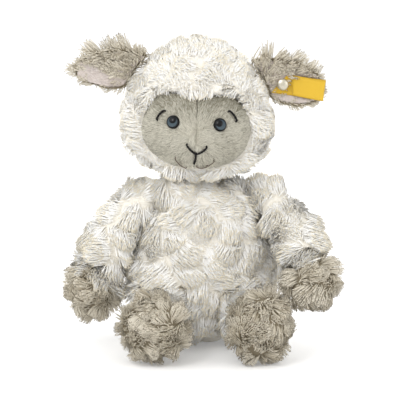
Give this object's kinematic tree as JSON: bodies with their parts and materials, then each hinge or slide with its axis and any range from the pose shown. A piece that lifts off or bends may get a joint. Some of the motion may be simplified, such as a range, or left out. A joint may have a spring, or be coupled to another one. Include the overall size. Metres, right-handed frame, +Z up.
{
  "type": "plush sheep",
  "caption": "Seated plush sheep with long-pile fur, a short-pile face, plastic eyes, a ribbon tag in one ear, and a head, ears, arms, legs and tail that turn at their seams.",
  "frame": {"origin": "middle of the flat under the seat, on the surface that the toy sits on", "axes": "+Z up, -Y forward the way the toy looks, +X to the toy's left"},
  "size_m": [0.1673, 0.1224, 0.1858],
  "materials": {
    "white_fur": "matte",
    "taupe_fur": "matte",
    "face_plush": "matte",
    "lining_plush": "matte",
    "seam_cloth": "matte",
    "embroidery_thread": "satin",
    "eye_plastic": "gloss",
    "washer_plastic": "satin",
    "yellow_ribbon": "satin",
    "button_metal": "satin"
  },
  "bodies": {
    "torso": {"torso": "white_fur"},
    "tail": {"tail": "white_fur"},
    "neck": {"neck_seam": "seam_cloth"},
    "head": {"head": "white_fur", "left_face": "face_plush", "right_face": "face_plush", "left_eye": "eye_plastic", "right_eye": "eye_plastic", "left_eye_washer": "washer_plastic", "right_eye_washer": "washer_plastic"},
    "left_ear": {"left_ear": "taupe_fur", "left_ear_lining": "lining_plush", "ribbon_tag": "yellow_ribbon", "ear_button": "button_metal", "ear_button_washer": "button_metal"},
    "right_ear": {"right_ear": "taupe_fur", "right_ear_lining": "lining_plush"},
    "left_shoulder": {"left_shoulder_seam": "seam_cloth"},
    "left_arm": {"left_arm": "white_fur", "left_paw": "taupe_fur"},
    "right_shoulder": {"right_shoulder_seam": "seam_cloth"},
    "right_arm": {"right_arm": "white_fur", "right_paw": "taupe_fur"},
    "left_hip": {"left_hip_seam": "seam_cloth"},
    "left_leg": {"left_leg": "white_fur", "left_foot": "taupe_fur"},
    "right_hip": {"right_hip_seam": "seam_cloth"},
    "right_leg": {"right_leg": "white_fur", "right_foot": "taupe_fur"}
  },
  "joints": [
    {"name": "neck_turn", "type": "hinge", "parent": "torso", "child": "neck", "pos_m": [-0.008, 0, 0.09], "axis": [0, 0, 1], "range_deg": [-35, 35]},
    {"name": "head_nod", "type": "hinge", "parent": "neck", "child": "head", "pos_m": [-0.008, 0, 0.09], "axis": [1, 0, 0], "range_deg": [-12, 14]},
    {"name": "left_ear_flap", "type": "hinge", "parent": "head", "child": "left_ear", "pos_m": [0.0342, 0.002, 0.1592], "axis": [0.4432, 0, -0.8964], "range_deg": [-30, 28]},
    {"name": "right_ear_flap", "type": "hinge", "parent": "head", "child": "right_ear", "pos_m": [-0.0415, 0.002, 0.1638], "axis": [0.5489, 0, 0.8359], "range_deg": [-30, 40]},
    {"name": "left_shoulder_swing", "type": "hinge", "parent": "torso", "child": "left_shoulder", "pos_m": [0.036, 0, 0.09], "axis": [-1, 0, 0], "range_deg": [-70, 75]},
    {"name": "left_shoulder_lift", "type": "hinge", "parent": "left_shoulder", "child": "left_arm", "pos_m": [0.036, 0, 0.09], "axis": [0, -1, 0], "range_deg": [0, 60]},
    {"name": "right_shoulder_swing", "type": "hinge", "parent": "torso", "child": "right_shoulder", "pos_m": [-0.036, 0, 0.09], "axis": [-1, 0, 0], "range_deg": [-50, 95]},
    {"name": "right_shoulder_lift", "type": "hinge", "parent": "right_shoulder", "child": "right_arm", "pos_m": [-0.036, 0, 0.09], "axis": [0, 1, 0], "range_deg": [0, 60]},
    {"name": "left_hip_swing", "type": "hinge", "parent": "torso", "child": "left_hip", "pos_m": [0.023, -0.023, 0.023], "axis": [-1, 0, 0], "range_deg": [-42, 6]},
    {"name": "left_hip_spread", "type": "hinge", "parent": "left_hip", "child": "left_leg", "pos_m": [0.023, -0.023, 0.023], "axis": [0, 0, 1], "range_deg": [-3, 3]},
    {"name": "right_hip_swing", "type": "hinge", "parent": "torso", "child": "right_hip", "pos_m": [-0.023, -0.023, 0.023], "axis": [-1, 0, 0], "range_deg": [-42, 20]},
    {"name": "right_hip_spread", "type": "hinge", "parent": "right_hip", "child": "right_leg", "pos_m": [-0.023, -0.023, 0.023], "axis": [0, 0, -1], "range_deg": [-3, 25]},
    {"name": "tail_lift", "type": "hinge", "parent": "torso", "child": "tail", "pos_m": [0, 0.0385, 0.044], "axis": [1, 0, 0], "range_deg": [0, 75]}
  ]
}
